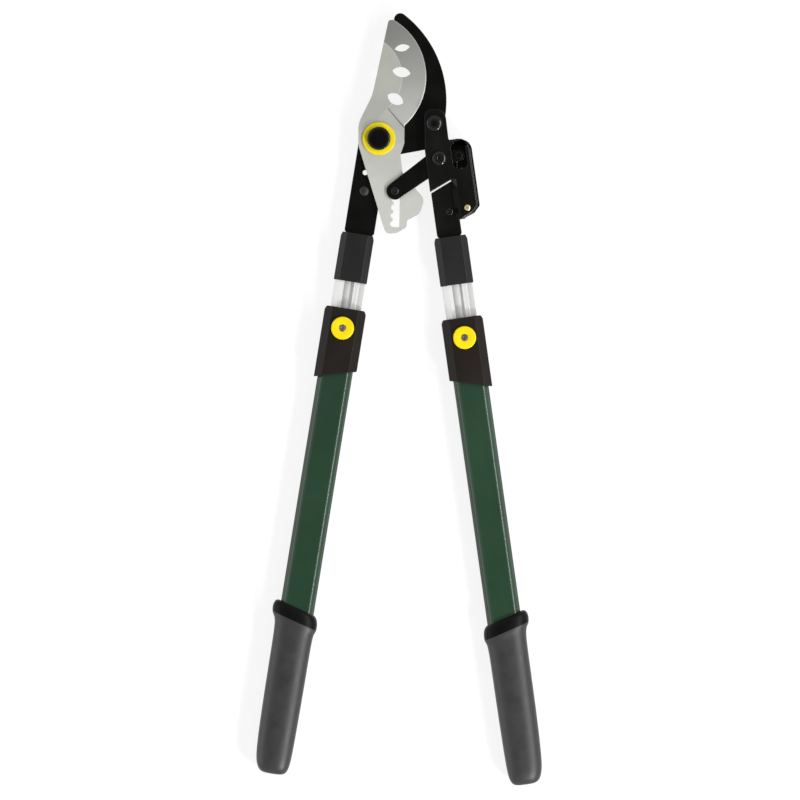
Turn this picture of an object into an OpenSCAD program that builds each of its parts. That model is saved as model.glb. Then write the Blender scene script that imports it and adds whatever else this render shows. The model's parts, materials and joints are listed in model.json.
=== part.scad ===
// Ratchet lopper with two telescopic handles, lying flat on its back, blade closed.
// X runs across, Y from the grips to the cutting tip, Z up off the surface it lies on.
// Sizes are in millimetres.

/* [Blade] */
// Height of the cutting tip over the blade pivot
blade_reach = 107.2; // [104:0.2:110]
// Depth of the tail under the blade pivot
tail_reach = 84.7; // [83:0.1:86.5]
// Thickness of the blade steel
blade_t = 4; // [3.5:0.1:4.5]
// Angle of the heel end of the edge
heel_angle = -47.9; // [-50:0.1:-46]
// Angle of the tip end of the edge
tip_angle = 59.9; // [58:0.1:61]
// Angle of the heel end of the bevel
bevel_angle = -49.8; // [-51:0.1:-48]
// Width of the hollow-ground bevel
bevel_w = 22; // [15:0.5:24]
// Steel left standing at the cutting edge
edge_land = 0.6; // [0.3:0.1:1.2]

/* [Ratchet] */
// Teeth in the tail slot
tooth_count = 5; // [3:1:5]
// Step from tooth to tooth
tooth_pitch = 7.4; // [7:0.1:7.6]
// Ratchet pin diameter
pin_d = 4.6; // [4:0.1:4.8]
// Ratchet pin to the side of the blade pivot
pin_side = 14.5; // [14:0.1:15]
// Ratchet pin under the blade pivot
pin_drop = 47.2; // [46:0.1:48]
// Lean of the row of teeth
tooth_lean = 3.4; // [2:0.1:4.5]
// Width of the ratchet link
link_w = 15.4; // [13:0.1:16.4]
// Thickness of each link plate
link_t = 2.5; // [2:0.1:3]

/* [Hook] */
// Thickness of the hook plate
hook_t = 5; // [4.4:0.1:5.4]
// Radius of the hook's rounded tip
hook_tip_r = 5.6; // [5:0.1:6]
// Overlap of the blade over the hook when closed
hook_lap = 5.7; // [4:0.1:7]
// Width of the tang that enters the left handle
tang_w = 27; // [25:0.2:28]

/* [Arm] */
// Arm pivot to the side of the blade pivot
arm_pivot_side = 50; // [49:0.1:52]
// Arm pivot over the blade pivot
arm_pivot_rise = 13.5; // [12.5:0.1:14.5]
// Link pivot under the arm pivot, along the arm
link_drop = 31.8; // [31:0.1:32.5]
// Arm pivot to the top of the right collar
arm_len = 102.6; // [101:0.2:105]
// Thickness of the arm sheets
sheet_t = 2.2; // [1.8:0.1:2.6]

/* [Fasteners] */
// Blade pivot bolt
pivot_d = 12; // [10:0.5:13]
// Head of the blade pivot bolt
pivot_head_d = 21; // [19:0.5:23]
// Ring under the head of the blade pivot bolt
washer_d = 29.5; // [27:0.5:31]
// Bolt of the arm pivot
arm_bolt_d = 9; // [8:0.5:10]
// Bolt of the link pivot
link_bolt_d = 8; // [7:0.5:8.5]
// Height of the larger domed heads
dome_h = 4.6; // [4:0.1:5]

/* [Handles] */
// Lean of the left handle
left_lean = 9.2; // [8:0.1:10]
// Lean of the right handle
right_lean = 8; // [7:0.1:9]
// Length of each collar
collar_len = 43.6; // [40:0.2:46]
// Width of each collar
collar_w = 30; // [29.5:0.1:32]
// Inner tube shown on the left
left_shown = 24.4; // [20:0.2:34]
// Inner tube shown on the right
right_shown = 30.2; // [20:0.2:34]
// Width of the inner tube
inner_w = 27.4; // [26.6:0.1:28]
// Thickness through the inner tube
inner_thick = 14.4; // [14:0.1:14.8]
// Wall of the inner tube
inner_wall = 1.6; // [1.4:0.1:1.7]
// Wall of the outer tube
outer_wall = 1.5; // [1.2:0.1:1.8]
// Sliding travel of each handle
extend_travel = 280; // [240:5:285]
// Lock stations along the travel
lock_stations = 5; // [3:1:8]

/* [Lock sleeves] */
// Width of the sleeve
sleeve_w = 37.5; // [36:0.1:40]
// Thickness through the sleeve
sleeve_thick = 28; // [28:0.1:30]
// Length of the sleeve on its outer side
sleeve_len = 65; // [60:0.5:70]
// Slant of the lower end of the sleeve
sleeve_slant = 15; // [10:0.5:18]
// Diameter of the lock button
button_d = 20.7; // [19:0.1:22]
// Button centre under the top of the sleeve
button_drop = 18.1; // [16:0.1:19]
// Travel of the lock button
press_travel = 3; // [2:0.1:3.2]
// Height of the button over the sleeve
button_proud = 2.5; // [1.5:0.1:3]

/* [Grips] */
// Width of the grip
grip_w = 35; // [34.8:0.1:37.5]
// Thickness through the grip
grip_thick = 27; // [24:0.1:27.1]
// Sleeve top to the end of the grip
grip_end = 424.5; // [418:0.5:430]
// Length of the grip
grip_len = 151; // [142:0.5:156]
// Slant of the flange
grip_slant = 15.5; // [8:0.5:17]

/* [Hidden] */
$fn = 64;
arc_steps = 32;
corner_steps = 5;
// Cuts run past the faces they open
overrun = 1;
// Faces that slide on each other
slide_gap = 0.2;
// Bodies that move past each other
clear_gap = 0.3;
// A turning shaft in its hole, per side
turn_gap = 0.05;
// Pieces that are pushed or glued together, per side
fit_gap = 0.05;

mid_z = sleeve_thick / 2;
hook_z = mid_z - hook_t / 2;
blade_z = hook_z + hook_t + slide_gap;
front_link_z = blade_z + blade_t + clear_gap;
back_link_z = blade_z - clear_gap - link_t;
front_sheet_z = front_link_z + link_t + clear_gap;
back_sheet_z = hook_z - clear_gap - sheet_t;
core_z = back_sheet_z + sheet_t;
core_t = hook_t + clear_gap;
tang_sheet_z = core_z + core_t;

edge_r_share = 0.55317;
edge_r = blade_reach * edge_r_share;
edge_centre_shares = [-0.1553, 0.5215];
edge_centre = blade_reach * edge_centre_shares;
pin_at = [pin_side, -pin_drop];
arm_pivot = [arm_pivot_side, arm_pivot_rise];
link_pivot = arm_pivot + link_drop * [sin(right_lean), -cos(right_lean)];
left_collar_shares = [-0.2227, -1.0109];
left_collar_at = tail_reach * left_collar_shares;
right_collar_at = arm_pivot + arm_len * [sin(right_lean), -cos(right_lean)];

// The middle of the whole outline becomes the origin
grip_end_r_share = 0.3;
grip_end_r = grip_w * grip_end_r_share;
grip_edge = grip_w / 2 - grip_end_r;
left_end = collar_len + left_shown + grip_end - grip_end_r;
right_end = collar_len + right_shown + grip_end - grip_end_r;
low_x = left_collar_at.x - grip_edge * cos(left_lean) - left_end * sin(left_lean) - grip_end_r;
high_x = right_collar_at.x + grip_edge * cos(right_lean) + right_end * sin(right_lean) + grip_end_r;
low_y = right_collar_at.y - grip_edge * sin(right_lean) - right_end * cos(right_lean) - grip_end_r;
hook_r_share = 0.91418;
hook_r = blade_reach * hook_r_share;
hook_centre_shares = [-0.346, 0.321];
hook_centre = blade_reach * hook_centre_shares;
hook_tip_angle = 52.4;
hook_tip = hook_centre + (hook_r - hook_tip_r) * [cos(hook_tip_angle), sin(hook_tip_angle)];
high_y = hook_tip.y + hook_tip_r;
shift = [-(low_x + high_x) / 2, -(low_y + high_y) / 2, 0];

// Outline helpers
function unit(v) = v / norm(v);
function polar(c, r, a) = c + r * [cos(a), sin(a)];
function arc(c, r, from, to) =
    [for (i = [0 : arc_steps]) polar(c, r, from + (to - from) * i / arc_steps)];
function corner(a, b, c, r) =
    let (u = unit(a - b), w = unit(c - b), half = acos(u * w) / 2)
    let (m = b + unit(u + w) * r / sin(half), back = r / tan(half))
    let (p = b + u * back - m, q = b + w * back - m)
    let (from = atan2(p.y, p.x), to = atan2(q.y, q.x))
    let (turn = to - from > 180 ? to - from - 360 : to - from < -180 ? to - from + 360 : to - from)
    [for (i = [0 : corner_steps]) polar(m, r, from + turn * i / corner_steps)];
function flat(v) = [v.x, v.y];
function at(v, i) = flat(v[(i + len(v)) % len(v)]);
function rounded(v) =
    [for (i = [0 : len(v) - 1]) each
        v[i].z > 0 ? corner(at(v, i - 1), at(v, i), at(v, i + 1), v[i].z) : [at(v, i)]];
function turned(p, a) = [p.x * cos(a) - p.y * sin(a), p.x * sin(a) + p.y * cos(a)];

// Box with bevelled long edges, as the tubes and their mouldings have
function bevelled(w, h, bx, by, r) = rounded([
    [w / 2 - bx, h / 2, r], [bx - w / 2, h / 2, r], [-w / 2, h / 2 - by, r], [-w / 2, by - h / 2, r],
    [bx - w / 2, -h / 2, r], [w / 2 - bx, -h / 2, r], [w / 2, by - h / 2, r], [w / 2, h / 2 - by, r]]);

// Places
module in_frame() translate(shift) children();
module on_left() in_frame() translate(left_collar_at) rotate(-left_lean) children();
module on_arm() in_frame() translate(arm_pivot) rotate(right_lean) children();
module on_right() on_arm() translate([0, -arm_len, 0]) children();
module at_pin() in_frame() translate(pin_at) children();
// A section drawn across and up is run down the handle
module run(from, length)
    translate([0, -from, mid_z]) rotate([90, 0, 0]) linear_extrude(length) children();
// A front view is raised from one height to another
module raise(from, height) translate([0, 0, from]) linear_extrude(height) children();

// Bar with two round ends, its sides a little inside the outer tangents
module bar(p, rp, q, rq, h, inset = 0) {
    d = norm(q - p);
    a = atan2(q.y - p.y, q.x - p.x);
    b = acos((rp - rq) / d);
    ip = rp - inset;
    iq = rq - inset;
    union() {
        translate(p) cylinder(r = rp, h = h);
        translate(q) cylinder(r = rq, h = h);
        linear_extrude(h)
            polygon([polar(p, ip, a + b), polar(q, iq, a + b), polar(q, iq, a - b), polar(p, ip, a - b)]);
    }
}

module dome(d, h) {
    r = (d * d / 4 + h * h) / (2 * h);
    intersection() {
        translate([0, 0, h - r]) sphere(r = r);
        cylinder(d = d, h = h);
    }
}

// Head with an upright rim under a dome
module head(d, h) {
    rim_share = 0.35;
    cylinder(d = d, h = h * rim_share);
    translate([0, 0, h * rim_share]) dome(d, h * (1 - rim_share));
}

module ring(d, bore, h) {
    difference() {
        cylinder(d = d, h = h);
        translate([0, 0, -overrun]) cylinder(d = bore, h = h + 2 * overrun);
    }
}

// Closed skin over a row of rings with the same number of points
module skin(rings) {
    n = len(rings[0]);
    m = len(rings);
    sides = [for (i = [0 : m - 2]) for (j = [0 : n - 1]) let (k = (j + 1) % n)
        each [[i * n + j, i * n + k, (i + 1) * n + k], [i * n + j, (i + 1) * n + k, (i + 1) * n + j]]];
    ends = [[for (j = [n - 1 : -1 : 0]) j], [for (j = [0 : n - 1]) (m - 1) * n + j]];
    polyhedron([for (r = rings) each r], concat(sides, ends));
}

// Round wire along a path, its section carried on without twist
wire_sides = 6;
rings_per_curl = 8;
function along(path, i) = unit(path[min(i + 1, len(path) - 1)] - path[max(i - 1, 0)]);
function carried(n, t) = unit(n - (n * t) * t);
module wire(path, d, first) {
    normals = [for (i = 0, n = carried(first, along(path, 0)); i < len(path);
        i = i + 1, n = i < len(path) ? carried(n, along(path, i)) : n) n];
    skin([for (i = [0 : len(path) - 1]) [for (k = [0 : wire_sides - 1])
        path[i] + d / 2 * (normals[i] * cos(360 * k / wire_sides)
            + cross(normals[i], along(path, i)) * sin(360 * k / wire_sides))]]);
}
function least_gap(path, d) = min([for (i = [0 : len(path) - 1])
    for (j = [i + rings_per_curl / 2 : 1 : len(path) - 1]) norm(path[i] - path[j])]) - d;

// Blade: convex cutting edge, straight spine, tail with a toothed slot
spine_shares = [[0.081, 0.995, 0.02], [-0.055, 0.365, 0.373], [-0.1726, 0.129, 0.233]];
tail_shares = [[-0.218, -0.068, 0.177], [0.073, -1.013, 0.065], [0.195, -1.001, 0.118],
    [0.294, -0.94, 0.035], [0.3, -0.869, 0.03], [0.434, -0.795, 0.1], [0.485, -0.645, 0.085],
    [0.2515, -0.364, 0.106], [0.229, -0.165, 0.083], [0.27, -0.053, 0.059]];
edge_from = polar(edge_centre, edge_r, heel_angle);
edge_to = polar(edge_centre, edge_r, tip_angle);
edge_arc = arc(edge_centre, edge_r, heel_angle, tip_angle);
blade_outline = concat(
    rounded(concat([[edge_to.x, edge_to.y, 0]], spine_shares * blade_reach,
        tail_shares * tail_reach, [[edge_from.x, edge_from.y, 0]])),
    [for (i = [1 : arc_steps - 1]) edge_arc[i]]);
oval_place_shares = [[0.196, 0.763], [0.19, 0.559], [0.139, 0.333]];
oval_size_shares = [[0.129, 0.06], [0.155, 0.086], [0.146, 0.0925]];
oval_tilts = [10, -10, -30];

// Slot drawn with the first tooth at its origin and the teeth down -Y
notch_r = pin_d / 2 + clear_gap;
cusp_share = 0.21;
cusp = notch_r * cusp_share;
slot_open = pin_d - cusp + clear_gap / 2;
slot_flare_share = 0.37;
slot_foot = (tooth_count - 1) * tooth_pitch + notch_r;
slot_corner = notch_r / 2;
first_room = 1;

module tooth_slot(h) {
    linear_extrude(h)
        polygon(rounded([[-cusp, notch_r, slot_corner], [slot_open, notch_r + first_room, slot_corner],
            [slot_open * (1 + slot_flare_share), -slot_foot, slot_corner], [-cusp, -slot_foot, 0]]));
    for (i = [1 : tooth_count - 1]) translate([0, -i * tooth_pitch, 0]) cylinder(r = notch_r, h = h);
    bar([0, first_room], notch_r, [0, -first_room], notch_r, h);
}

module lens(l, w) {
    r = (l * l / 4 + w * w / 4) / w;
    intersection() {
        translate([0, w / 2 - r]) circle(r = r);
        translate([0, r - w / 2]) circle(r = r);
    }
}

module blade() color("silver") in_frame() {
    difference() {
        raise(blade_z, blade_t) polygon(blade_outline);
        translate([0, 0, blade_z - overrun]) {
            cylinder(d = pivot_d + 2 * turn_gap, h = blade_t + 2 * overrun);
            translate(pin_at) rotate(-tooth_lean) tooth_slot(blade_t + 2 * overrun);
            for (i = [0 : len(oval_tilts) - 1])
                translate(blade_reach * oval_place_shares[i]) rotate(oval_tilts[i])
                    linear_extrude(blade_t + 2 * overrun)
                        lens(blade_reach * oval_size_shares[i].x, blade_reach * oval_size_shares[i].y);
        }
        bevel_cut();
    }
}

// The bevel falls from the flat to the edge all along the cutting arc
bevel_turn = 150;
module bevel_cut() {
    fall = blade_t - edge_land;
    slope = fall / bevel_w;
    translate([edge_centre.x, edge_centre.y, blade_z + blade_t]) rotate(bevel_angle)
        rotate_extrude(angle = bevel_turn) polygon([[edge_r - bevel_w - overrun, slope * overrun],
            [edge_r + overrun, slope * overrun], [edge_r + overrun, -fall - slope * overrun]]);
}

// Hook plate: counter edge, hub, arm pivot lobe and the tang of the left handle
hub_wall = 12.4;
hub_r = pivot_d / 2 + hub_wall;
lobe_wall = 6;
lobe_r = arm_bolt_d / 2 + lobe_wall;
arc_start = 1;
hook_inner_r = edge_r - hook_lap;
throat_angle = -55.5;
hook_inner_end = 52;
hook_tip_start = 195;
hook_outer_end = -14;
tang_left_share = 0.466;
tang_left = -tang_w * tang_left_share;
tang_right = tang_w + tang_left;
tang_foot = 0.1;
tang_corner = 2.5;
tongue_w = 19;
tongue_len = 34;
tang_head_share = 0.9226;
tang_head = norm(left_collar_at) * tang_head_share;
hook_low_shares = [[0.537, -0.01, 0.05], [0.457, -0.079, 0.056], [0.066, -0.15, 0.075]];
stop_shares = [-0.1547, -0.555];
peep_shares = [-0.145, -0.359];
stop_at = tail_reach * stop_shares;
peep_at = tail_reach * peep_shares;
peep_d = 4.6;
stop_d = 9;
stop_shank_d = 6;
stop_h = 3;

function to_left(p) = left_collar_at + turned(p, -left_lean);
function corner_at(p, r) = [p.x, p.y, r];
hook_outline = concat(
    rounded(concat(
        [corner_at(polar(hook_centre, hook_r, hook_outer_end), 0)],
        hook_low_shares * blade_reach,
        [corner_at(to_left([tang_right, tang_foot]), tang_corner),
            corner_at(to_left([tongue_w / 2, tang_foot]), 0),
            corner_at(to_left([tongue_w / 2, -tongue_len]), tang_corner),
            corner_at(to_left([-tongue_w / 2, -tongue_len]), tang_corner),
            corner_at(to_left([-tongue_w / 2, tang_foot]), 0),
            corner_at(to_left([tang_left, tang_foot]), tang_corner),
            corner_at(to_left([tang_left, tang_head]), 0)])),
    arc(edge_centre, hook_inner_r, throat_angle, hook_inner_end),
    arc(hook_tip, hook_tip_r, hook_tip_start, hook_tip_angle + arc_start),
    arc(hook_centre, hook_r, hook_tip_angle, hook_outer_end + arc_start));

module hook_plate() color("#1c1c1a") in_frame() {
    difference() {
        union() {
            raise(hook_z, hook_t) polygon(hook_outline);
            translate([0, 0, hook_z]) cylinder(r = hub_r, h = hook_t);
            translate([arm_pivot.x, arm_pivot.y, hook_z]) cylinder(r = lobe_r, h = hook_t);
        }
        translate([0, 0, hook_z - overrun]) {
            cylinder(d = pivot_d + 2 * fit_gap, h = hook_t + 2 * overrun);
            translate(arm_pivot) cylinder(d = arm_bolt_d + 2 * turn_gap, h = hook_t + 2 * overrun);
            translate(stop_at) cylinder(d = stop_shank_d + 2 * fit_gap, h = hook_t + 2 * overrun);
            translate(peep_at) cylinder(d = peep_d, h = hook_t + 2 * overrun);
        }
    }
}

module blade_stop() color("#8a8a86") in_frame() translate(stop_at) {
    translate([0, 0, hook_z]) cylinder(d = stop_shank_d, h = hook_t);
    translate([0, 0, hook_z + hook_t]) head(stop_d, stop_h);
    translate([0, 0, hook_z]) mirror([0, 0, 1]) head(stop_d, stop_h / 2);
}

// Blade pivot
washer_t = 2;
nut_w = 19;
nut_t = 8;
nut_washer_d = 24;
nut_washer_t = 1.5;
washer_z = blade_z + blade_t + slide_gap;
nut_washer_z = hook_z - nut_washer_t;

module pivot_bolt() color("#151513") in_frame() {
    foot = nut_washer_z - nut_t - slide_gap;
    translate([0, 0, foot]) cylinder(d = pivot_d, h = washer_z + washer_t - foot);
    translate([0, 0, washer_z + washer_t]) head(pivot_head_d, dome_h);
}

module pivot_washer() color("#ffe600") in_frame() translate([0, 0, washer_z])
    ring(washer_d, pivot_d + 2 * fit_gap, washer_t);

module pivot_nut() color("#6f706e") in_frame() {
    translate([0, 0, nut_washer_z]) ring(nut_washer_d, pivot_d + 2 * fit_gap, nut_washer_t);
    difference() {
        translate([0, 0, nut_washer_z - nut_t]) cylinder(d = nut_w / cos(30), h = nut_t, $fn = 6);
        translate([0, 0, nut_washer_z - nut_t - overrun])
            cylinder(d = pivot_d + 2 * fit_gap, h = nut_t + 2 * overrun);
    }
}

// Arm: two sheets round a core, with a raised pan over the ratchet spring
cheek_shares = [[-0.0699, 0.1284, 0.0586], [0.1089, 0.1233, 0.0925], [0.1027, -0.1674, 0.0205]];
pan_shares = [[0.2784, -0.1603, 0.0976], [0.2784, -0.7643, 0.0247], [0.2219, -0.8218, 0.0288]];
fold_share = 0.1315;
pan_foot_share = -0.8609;
slit_left_shares = [[0.074, -0.5054], [-0.1212, -0.5866]];
slit_right_shares = [[0.076, -0.5147], [-0.1212, -0.601]];
cheek_left_shares = [[-0.1212, -0.5866], [-0.1161, -0.225]];
tang_edge_shares = [0.0863, -0.8609];
arm_tang_shares = [-0.114, 0.1048];
arm_foot = 0.1;
back_reach_share = 0.018;
slit_end_share = 0.0062;
window_shares = [0.1125, 0.2378, -0.19, -0.4238];
window_corner = 5;
rivet_shares = [0.0243, -0.7838];
anchor_shares = [0.1849, -0.7719];
rivet_at = arm_len * rivet_shares;
anchor_at = arm_len * anchor_shares;
rivet_d = 6.5;
rivet_shank_d = 4.5;
rivet_h = 1.3;
anchor_d = 5.5;
anchor_shank_d = 3.6;
arm_head_d = 14.5;
small_dome_share = 0.8;
spacer_wall = 3;
link_head_d = 13;
link_dimple_d = 5;
link_local = [0, -link_drop];

module cheek_and_pan(more) {
    foot = arm_len * pan_foot_share;
    fold = arm_len * fold_share;
    polygon(rounded(concat(cheek_shares * arm_len, [for (p = pan_shares) arm_len * (p + [more, 0, 0])],
        [[fold, foot, 0], [fold, arm_len * slit_left_shares[0].y, 0]],
        [for (p = slit_left_shares * arm_len) [p.x, p.y, 0]],
        [corner_at(arm_len * cheek_left_shares[1], arm_len * slit_end_share)])));
}

module tang_front() {
    edge = arm_len * tang_edge_shares[0];
    step = arm_len * tang_edge_shares[1];
    left = arm_len * arm_tang_shares[0];
    right = arm_len * arm_tang_shares[1];
    polygon(rounded([[edge, arm_len * slit_right_shares[0].y, 0], [edge, step, 0], [right, step, 0],
        [right, arm_foot - arm_len, tang_corner], [left, arm_foot - arm_len, tang_corner],
        [left, arm_len * slit_right_shares[1].y, 0]]));
}

module window() {
    l = arm_len * window_shares[0];
    r = arm_len * window_shares[1];
    t = arm_len * window_shares[2];
    b = arm_len * window_shares[3];
    polygon(rounded([[l, b, window_corner], [r, b, window_corner],
        [r, t, window_corner], [l, t, window_corner]]));
}

module arm_bores(from, height) {
    translate([0, 0, from - overrun]) {
        cylinder(d = arm_bolt_d + 2 * fit_gap, h = height + 2 * overrun);
        translate(link_local) cylinder(d = link_bolt_d + 2 * fit_gap, h = height + 2 * overrun);
        translate(rivet_at) cylinder(d = rivet_shank_d + 2 * fit_gap, h = height + 2 * overrun);
        translate(anchor_at) cylinder(d = anchor_shank_d + 2 * fit_gap, h = height + 2 * overrun);
    }
}

// Rim of the pan: bent back along its top and outer side
module pan_rim() {
    right = arm_len * pan_shares[0].x;
    top = arm_len * pan_shares[0].y;
    foot = arm_len * pan_shares[1].y;
    r = arm_len * pan_shares[0].z;
    left = arm_len * window_shares[0];
    difference() {
        polygon(rounded([[left, top, 0], [right, top, r], [right, foot, 0], [left, foot, 0]]));
        polygon(rounded([[left - overrun, top - sheet_t, 0], [right - sheet_t, top - sheet_t, r - sheet_t],
            [right - sheet_t, foot - overrun, 0], [left - overrun, foot - overrun, 0]]));
    }
}

module arm_front_plate() color("#191917") on_arm() {
    lower = arm_len * tang_edge_shares[0];
    upper = arm_len * fold_share;
    half = sheet_t / 2;
    top = -arm_len * slit_left_shares[0].y - half;
    foot = -arm_len * tang_edge_shares[1];
    difference() {
        union() {
            raise(front_sheet_z, sheet_t) cheek_and_pan(0);
            raise(core_z, front_sheet_z - core_z + sheet_t / 2) pan_rim();
            raise(tang_sheet_z, sheet_t) tang_front();
            translate([0, -top, 0]) rotate([90, 0, 0]) linear_extrude(foot - top)
                polygon([[lower - half, tang_sheet_z], [lower - half, tang_sheet_z + sheet_t],
                    [upper - half, front_sheet_z + sheet_t], [upper + half, front_sheet_z + sheet_t],
                    [upper + half, front_sheet_z], [lower + half, tang_sheet_z]]);
        }
        raise(front_sheet_z - overrun, sheet_t + 2 * overrun) window();
        arm_bores(tang_sheet_z, front_sheet_z + sheet_t - tang_sheet_z);
    }
}

module arm_back_plate() color("#191917") on_arm() {
    lower = arm_len * tang_edge_shares[0];
    upper = arm_len * fold_share;
    half = sheet_t / 2;
    top = arm_len * slit_left_shares[0].y + half;
    foot = arm_len * tang_edge_shares[1];
    difference() {
        union() {
            raise(back_sheet_z, sheet_t) cheek_and_pan(back_reach_share);
            raise(back_sheet_z, sheet_t) tang_front();
            raise(back_sheet_z, sheet_t)
                polygon([[lower - half, top], [upper + sheet_t, top],
                    [upper + sheet_t, foot], [lower - half, foot]]);
        }
        arm_bores(back_sheet_z, sheet_t);
    }
}

module arm_core() color("#22221f") on_arm() {
    difference() {
        union() {
            raise(core_z, core_t) tang_front();
            translate([-tongue_w / 2, -arm_len - tongue_len, core_z])
                cube([tongue_w, tongue_len + 2 * tang_corner, core_t]);
        }
        arm_bores(core_z, core_t);
    }
}

module arm_pivot_bolt() color("#141412") on_arm() {
    translate([0, 0, back_sheet_z]) cylinder(d = arm_bolt_d, h = front_sheet_z + sheet_t - back_sheet_z);
    translate([0, 0, front_sheet_z + sheet_t]) head(arm_head_d, dome_h * small_dome_share);
    translate([0, 0, back_sheet_z]) mirror([0, 0, 1]) head(arm_head_d, dome_h * small_dome_share);
}
module arm_pivot_spacer() color("#55554f") on_arm()
    translate([0, 0, hook_z + hook_t + slide_gap])
        ring(arm_bolt_d + 2 * spacer_wall, arm_bolt_d + 2 * fit_gap,
            front_sheet_z - hook_z - hook_t - slide_gap);

module link_pivot_bolt() color("#191917") on_arm() translate(link_local) {
    h = dome_h * small_dome_share;
    translate([0, 0, back_sheet_z]) cylinder(d = link_bolt_d, h = front_sheet_z + sheet_t - back_sheet_z);
    translate([0, 0, back_sheet_z]) mirror([0, 0, 1]) head(link_head_d, h);
    difference() {
        translate([0, 0, front_sheet_z + sheet_t]) head(link_head_d, h);
        translate([0, 0, front_sheet_z + sheet_t + h / 2]) cylinder(d = link_dimple_d, h = h);
    }
}

module link_spacers() color("#55554f") on_arm() translate(link_local) {
    d = link_bolt_d + spacer_wall;
    low = back_sheet_z + sheet_t;
    mid = back_link_z + link_t;
    translate([0, 0, low]) ring(d, link_bolt_d + 2 * fit_gap, back_link_z - low - slide_gap);
    translate([0, 0, mid + slide_gap / 2])
        ring(d, link_bolt_d + 2 * fit_gap, front_link_z - mid - slide_gap);
}

module arm_rivet() color("#2b2b28") on_arm() translate(rivet_at) {
    translate([0, 0, back_sheet_z]) cylinder(d = rivet_shank_d, h = tang_sheet_z + sheet_t - back_sheet_z);
    translate([0, 0, tang_sheet_z + sheet_t]) head(rivet_d, rivet_h);
    translate([0, 0, back_sheet_z]) mirror([0, 0, 1]) head(rivet_d, rivet_h);
}

module spring_anchor() color("#d8d0a0") on_arm() translate(anchor_at) {
    translate([0, 0, back_sheet_z]) cylinder(d = anchor_shank_d, h = front_sheet_z + sheet_t - back_sheet_z);
    translate([0, 0, front_sheet_z + sheet_t]) head(anchor_d, rivet_h);
    translate([0, 0, back_sheet_z]) mirror([0, 0, 1]) head(anchor_d, rivet_h);
}

// Ratchet link: two plates over and under the tail, a pin and a spring post
post_len = 17.8;
post_turn = 8.7;
post_end_r = 5.2;
tail_root_share = 0.4;
link_root_share = 0.6;
bar_inset = 0.03;
post_d = 3.6;
post_foot_d = 5.6;
post_foot_t = 1;
post_at = post_len * [cos(post_turn), sin(post_turn)];
pin_head_d = 7;
pin_head_h = 1.2;
ratchet_wire_d = 1.1;
spring_z = (core_z + front_link_z) / 2;

module link_bar()
    bar([0, 0], link_w * link_root_share, pin_at - link_pivot, link_w / 2, link_t, bar_inset);
module on_link() in_frame() translate(link_pivot) children();

module link_front_plate() color("#171715") on_link() {
    difference() {
        translate([0, 0, front_link_z]) union() {
            link_bar();
            bar([0, 0], link_w * tail_root_share, post_at, post_end_r, link_t, bar_inset);
        }
        translate([0, 0, front_link_z - overrun]) {
            cylinder(d = link_bolt_d + 2 * turn_gap, h = link_t + 2 * overrun);
            translate(pin_at - link_pivot) cylinder(d = pin_d + 2 * fit_gap, h = link_t + 2 * overrun);
            translate(post_at) cylinder(d = post_d + 2 * fit_gap, h = link_t + 2 * overrun);
        }
    }
}

module link_back_plate() color("#171715") on_link() {
    difference() {
        translate([0, 0, back_link_z]) link_bar();
        translate([0, 0, back_link_z - overrun]) {
            cylinder(d = link_bolt_d + 2 * turn_gap, h = link_t + 2 * overrun);
            translate(pin_at - link_pivot) cylinder(d = pin_d + 2 * fit_gap, h = link_t + 2 * overrun);
        }
    }
}

module ratchet_pin() color("#3a3a36") at_pin() {
    translate([0, 0, back_link_z]) cylinder(d = pin_d, h = front_link_z + link_t - back_link_z);
    translate([0, 0, front_link_z + link_t]) head(pin_head_d, pin_head_h);
    translate([0, 0, back_link_z]) mirror([0, 0, 1]) head(pin_head_d, pin_head_h);
}

module spring_post() color("#6a6a64") on_link() translate(post_at) {
    foot = spring_z - ratchet_wire_d - post_foot_t - clear_gap;
    translate([0, 0, foot]) cylinder(d = post_d, h = front_link_z + link_t - foot);
    translate([0, 0, foot]) cylinder(d = post_foot_d, h = post_foot_t);
    translate([0, 0, front_link_z - post_foot_t]) cylinder(d = post_foot_d, h = post_foot_t);
}

// Ratchet spring: a hook over the post, close coils, a hook round the anchor
ratchet_coil_r = 2.8;
ratchet_curls = 14;
ratchet_pitch = 1.9;
anchor_world = arm_pivot + turned(anchor_at, right_lean);
spring_run = link_pivot + post_at - anchor_world;
spring_len = norm(spring_run);
spring_turn = atan2(spring_run.y, spring_run.x) - 90;
hook_post_r = (post_d + ratchet_wire_d) / 2 + clear_gap;
hook_anchor_r = (anchor_shank_d + ratchet_wire_d) / 2 + clear_gap;
coil_run = ratchet_curls * ratchet_pitch;
coil_foot = (spring_len - coil_run) / 2;
hook_steps = 6;
ratchet_path = concat(
    [for (i = [0 : hook_steps]) let (a = -180 * i / hook_steps) hook_anchor_r * [cos(a), sin(a), 0]],
    [for (i = [0 : ratchet_curls * rings_per_curl])
        let (a = 180 - 360 * i / rings_per_curl)
        [ratchet_coil_r * cos(a), coil_foot + coil_run * i / (ratchet_curls * rings_per_curl),
            ratchet_coil_r * sin(a)]],
    [for (i = [0 : hook_steps]) let (a = 180 - 180 * i / hook_steps)
        [hook_post_r * cos(a), spring_len + hook_post_r * sin(a), 0]]);
echo(ratchet_spring_least_gap = least_gap(ratchet_path, ratchet_wire_d));

module ratchet_spring() color("#b8b8b4") in_frame()
    translate([anchor_world.x, anchor_world.y, spring_z]) rotate(spring_turn)
        wire(ratchet_path, ratchet_wire_d, [0, 0, 1]);

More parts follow.
